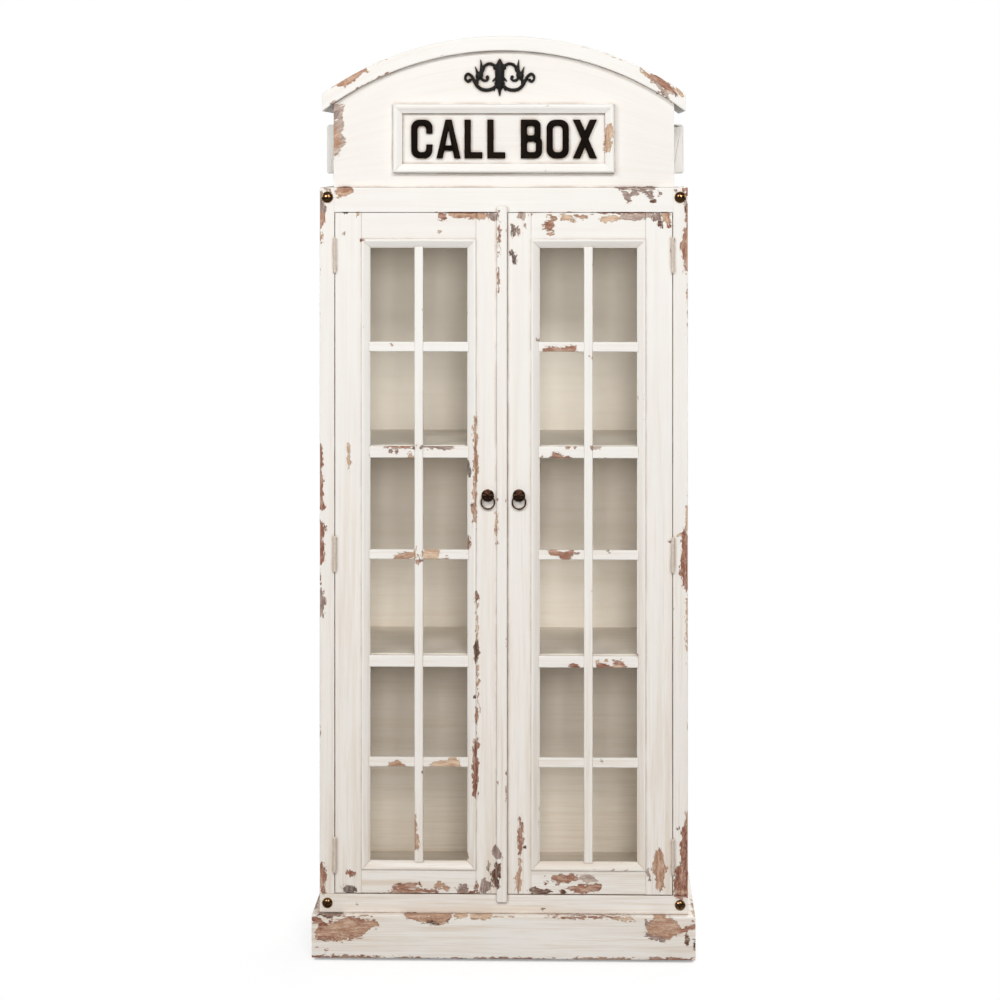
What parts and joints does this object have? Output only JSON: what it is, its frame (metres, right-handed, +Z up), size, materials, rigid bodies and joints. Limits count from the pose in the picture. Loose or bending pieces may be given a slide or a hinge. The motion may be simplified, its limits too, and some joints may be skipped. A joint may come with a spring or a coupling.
{
  "type": "glazed display cabinet in the form of a telephone booth",
  "caption": "Tall white wooden display cabinet shaped like an old telephone booth, with arched top, sign board, plinth, inner shelves and a pair of hinged glazed doors with ring pulls.",
  "frame": {"origin": "middle of the footprint, on the floor", "axes": "+Z up, -Y towards the front (the doors), +X to the right when facing the doors"},
  "size_m": [0.788, 0.404, 1.9],
  "materials": {
    "chipped_white_paint": "chalky off-white paint, brushed, chipped to brown wood at the edges",
    "interior_paint": "thin matt off-white paint",
    "bare_wood": "bare sawn wood",
    "letter_black": "black paint, eggshell",
    "cast_iron_black": "black, rough cast",
    "bronze_dark": "dark bronze, hammered, rubbed bright on the high spots",
    "painted_hinge": "white paint over steel",
    "zinc_steel": "zinc plated",
    "glide_plastic": "matt black",
    "clear_glass": "clear float glass"
  },
  "bodies": {
    "cabinet": {"arched_roof": "chipped_white_paint", "back_panel": "interior_paint", "bottom_rail": "chipped_white_paint", "cabinet_floor": "interior_paint", "corner_studs": "bronze_dark", "floor_glides": "glide_plastic", "front_post_left": "chipped_white_paint", "front_post_right": "chipped_white_paint", "hinge_pins": "painted_hinge", "hinge_post_leaves": "painted_hinge", "hinge_post_screws": "zinc_steel", "magnet_catches": "zinc_steel", "pediment_back": "chipped_white_paint", "pediment_front": "chipped_white_paint", "pediment_side_left": "chipped_white_paint", "pediment_side_right": "chipped_white_paint", "plinth_back": "chipped_white_paint", "plinth_corner_blocks": "bare_wood", "plinth_front": "chipped_white_paint", "plinth_side_left": "chipped_white_paint", "plinth_side_right": "chipped_white_paint", "scroll_ornament": "cast_iron_black", "shelf_cleats": "interior_paint", "shelf_lower": "interior_paint", "shelf_upper": "interior_paint", "side_panel_left": "chipped_white_paint", "side_panel_right": "chipped_white_paint", "side_sign_blocks": "chipped_white_paint", "sign_board": "chipped_white_paint", "sign_frame": "chipped_white_paint", "sign_letters": "letter_black", "top_panel": "interior_paint", "top_rail": "chipped_white_paint"},
    "door_left": {"astragal": "chipped_white_paint", "door_left_bottom_rail": "chipped_white_paint", "door_left_closing_stile": "chipped_white_paint", "door_left_glass": "clear_glass", "door_left_glazing_moulding": "chipped_white_paint", "door_left_hinge_stile": "chipped_white_paint", "door_left_muntin_grid": "chipped_white_paint", "door_left_top_rail": "chipped_white_paint", "hinge_door_leaves_left": "painted_hinge", "hinge_door_screws_left": "zinc_steel", "pull_boss_left": "bronze_dark", "pull_nut_left": "zinc_steel", "strike_plate_left": "zinc_steel"},
    "door_right": {"door_right_bottom_rail": "chipped_white_paint", "door_right_closing_stile": "chipped_white_paint", "door_right_glass": "clear_glass", "door_right_glazing_moulding": "chipped_white_paint", "door_right_hinge_stile": "chipped_white_paint", "door_right_muntin_grid": "chipped_white_paint", "door_right_top_rail": "chipped_white_paint", "hinge_door_leaves_right": "painted_hinge", "hinge_door_screws_right": "zinc_steel", "pull_boss_right": "bronze_dark", "pull_nut_right": "zinc_steel", "strike_plate_right": "zinc_steel"},
    "ring_left": {"pull_ring_left": "bronze_dark"},
    "ring_right": {"pull_ring_right": "bronze_dark"}
  },
  "joints": [
    {"name": "door_left_hinge", "type": "hinge", "parent": "cabinet", "child": "door_left", "pos_m": [-0.34775, -0.186, 0.833], "axis": [0, 0, -1], "range_deg": [0, 165]},
    {"name": "door_right_hinge", "type": "hinge", "parent": "cabinet", "child": "door_right", "pos_m": [0.34775, -0.186, 0.833], "axis": [0, 0, 1], "range_deg": [0, 165]},
    {"name": "ring_left_swing", "type": "hinge", "parent": "door_left", "child": "ring_left", "pos_m": [-0.032, -0.1878, 0.95475], "axis": [-1, 0, 0], "range_deg": [0, 45]},
    {"name": "ring_right_swing", "type": "hinge", "parent": "door_right", "child": "ring_right", "pos_m": [0.032, -0.1878, 0.95475], "axis": [-1, 0, 0], "range_deg": [0, 45]}
  ]
}
